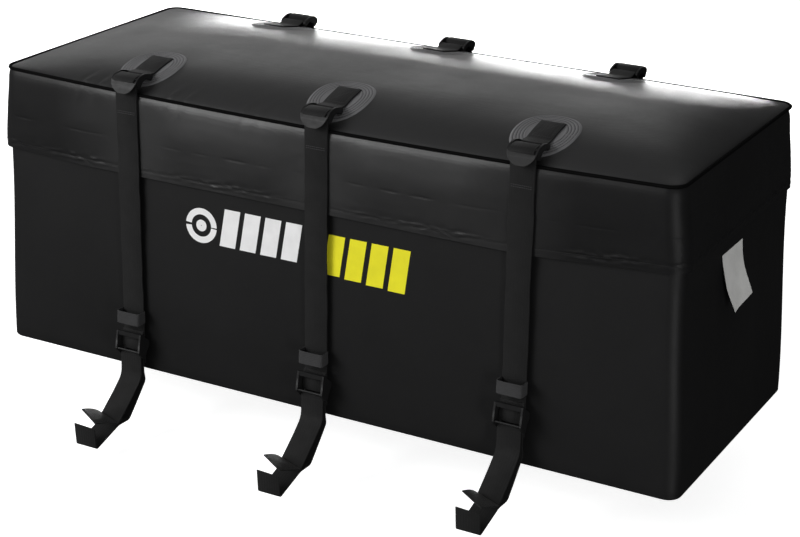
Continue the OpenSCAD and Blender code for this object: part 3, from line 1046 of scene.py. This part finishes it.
# -------- CAD nodes that stay
def finish_cad_nodes():
    mats = {"rear_hinge_seam": CORD, "zip_slider_left": METAL, "zip_slider_right": METAL,
            "zip_pull_left": METAL, "zip_pull_right": METAL}
    for node, mat in mats.items():
        obj = frame["nodes"][node]
        for place in obj.material_slots:
            place.material = mat
        if not obj.material_slots:
            obj.data.materials.append(mat)


# -------- studio
def add_camera():
    """The camera, from its direction, roll and distance about a point in the bag's middle."""
    azimuth, elevation, roll = (math.radians(v) for v in (28.612, 21.227, 0.902))
    target = Vector((0, 0, 0.3))
    distance, right_by, up_by = 4.0584, 0.0234, -0.0870
    back = Vector((math.sin(azimuth) * math.cos(elevation), -math.cos(azimuth) * math.cos(elevation),
                   math.sin(elevation)))
    right = Vector((0, 0, 1)).cross(back).normalized()
    up = back.cross(right)
    data = bpy.data.cameras.new("camera")
    data.sensor_width, data.lens = 36, 89.541
    camera = linked("camera", data)
    x_axis = right * math.cos(roll) + up * math.sin(roll)
    y_axis = up * math.cos(roll) - right * math.sin(roll)
    turn = Matrix((x_axis, y_axis, back)).transposed().to_4x4()
    camera.matrix_world = Matrix.Translation(target + back * distance + right * right_by + up * up_by) @ turn
    bpy.context.scene.camera = camera


def add_floor(level):
    """A pale floor, which lights nothing and only catches the soft shadow."""
    mesh = bpy.data.meshes.new("studio_floor")
    size = 60
    mesh.from_pydata([(-size, -size, level), (size, -size, level), (size, size, level), (-size, size, level)],
                     [], [(0, 1, 2, 3)])
    floor = linked("studio_floor", mesh)
    s = Shader("studio_floor", (0.8, 0.8, 0.8), 0.9, Emission_Color=(1, 1, 1, 1), Emission_Strength=0.8,
               Specular_IOR_Level=0.0)
    s.colour(s.mottle(0.7, 2, 0.995, 1.005))
    mesh.materials.append(s.mat)
    floor.visible_diffuse = False
    floor.visible_glossy = False
    floor.visible_shadow = False


def add_world():
    """Soft surroundings that look white: brightest above, weaker to the left, dim to the right and below."""
    world = bpy.data.worlds.new("studio")
    world.use_nodes = True
    bpy.context.scene.world = world
    tree = Tree(world.node_tree)
    tree.nodes.clear()
    direction = tree.add("TexCoord").outputs["Generated"]
    # (towards, strength, focus) of each soft glow, on top of a faint even light
    glows = [((0.0, -0.35, 0.94), 0.40, 4.0), ((-0.55, 0.80, 0.35), 0.15, 6.0),
             ((-0.75, -0.6, 0.3), 0.30, 4.0)]
    total = 0.01
    for towards, strength, focus in glows:
        facing = {0: direction, 1: Vector(towards).normalized()}
        dot = tree.add("VectorMath", facing, operation="DOT_PRODUCT").outputs["Value"]
        share = tree.math("MULTIPLY_ADD", dot, 0.5, 0.5)
        total = tree.math("MULTIPLY_ADD", tree.math("POWER", share, focus), strength, total)
    seen = tree.add("Background", {"Color": (0.97, 0.97, 0.97, 1)})
    lit = tree.add("Background", {"Strength": total})
    by_camera = tree.add("LightPath").outputs["Is Camera Ray"]
    mix = tree.add("MixShader", {0: by_camera, 1: lit.outputs[0], 2: seen.outputs[0]})
    tree.add("OutputWorld", {0: mix.outputs[0]})


def add_softbox(name, place, width, height, power):
    """A rectangular light that faces the bag's middle."""
    data = bpy.data.lights.new(name, "AREA")
    data.shape = "RECTANGLE"
    data.size, data.size_y = width, height
    data.energy = power
    light = linked(name, data)
    light.location = place
    light.rotation_mode = "QUATERNION"
    light.rotation_quaternion = (Vector(place) - Vector((0, 0, 0.35))).to_track_quat("Z", "Y")


def add_studio():
    add_floor(cad_box[0].z - 25 * MM)
    add_world()
    add_softbox("key_front_left", (-2.6, -3.2, 2.4), 2.2, 1.6, 120)
    add_softbox("sheen_behind", (-2.25, 3.5, 1.7), 3.6, 1.2, 17)
    add_softbox("fill_right", (3.8, 0.8, 1.0), 0.8, 1.6, 0.7)
    add_softbox("corner_strip", (3.0, -2.2, 0.1), 0.5, 1.8, 40)
    add_softbox("rear_low", (-1.3, 3.8, 0.2), 3.0, 0.6, 170)
    add_softbox("flap_strip", (-1.9, -3.6, 0.75), 2.6, 0.35, 22)
    view = bpy.context.scene.view_settings
    view.view_transform = "Standard"
    view.look = "None"


add_camera()
add_studio()
make_shell()
make_floor()
make_print()
make_label()
make_zip("zip_lower", "lower_zip_chain", "bag", ZIP_Z - 25.5 * MM, ZIP_Z - 2.2 * MM, ZIP_Z - 2.4 * MM)
make_zip("zip_upper", "upper_zip_chain", "lid", ZIP_Z + 2.2 * MM, ZIP_Z + 25.5 * MM, ZIP_Z + 2.4 * MM)
make_lid_band()
make_lid_top()
make_flap()
make_welt()
make_hinge_tape()
for place in SPOTS:
    make_patch(place)
    make_tab(place)
    make_buckles(place)
    make_bands(place)
    make_strap(place)
    make_keeper(place)
    make_tail(place)
finish_cad_nodes()
